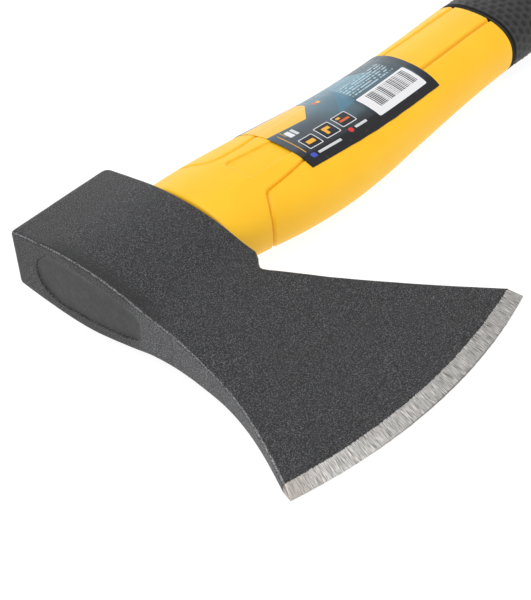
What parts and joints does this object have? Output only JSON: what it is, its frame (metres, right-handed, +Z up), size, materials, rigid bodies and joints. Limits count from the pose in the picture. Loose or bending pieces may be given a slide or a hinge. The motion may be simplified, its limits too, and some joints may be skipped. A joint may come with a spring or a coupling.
{
  "type": "hand axe",
  "caption": "Hand axe with a painted forged head, a flared ground cutting edge, a flat poll, a moulded yellow handle over a glass-fibre core, a rubber grip and a wrapped label.",
  "frame": {"origin": "middle of the bottom of the bounding box, on the bench that the axe lies on", "axes": "+X along the handle from the head to the butt, the cutting edge towards -Y and the poll towards +Y, +Z up through the cheek. The axe is rolled 7 degrees about X, so that its cutting edge comes down to the bench as it does when it lies on its side."},
  "size_m": [0.383, 0.149, 0.0315],
  "materials": {
    "painted_steel": "matte",
    "eye_resin": "satin",
    "glass_fibre": "satin",
    "yellow_plastic": "satin",
    "black_rubber": "matte",
    "printed_film": "satin"
  },
  "bodies": {
    "root": {"axe_head": "painted_steel", "eye_filler": "eye_resin", "handle_core": "glass_fibre", "handle_body": "yellow_plastic", "grip": "black_rubber", "label": "printed_film"}
  },
  "joints": []
}
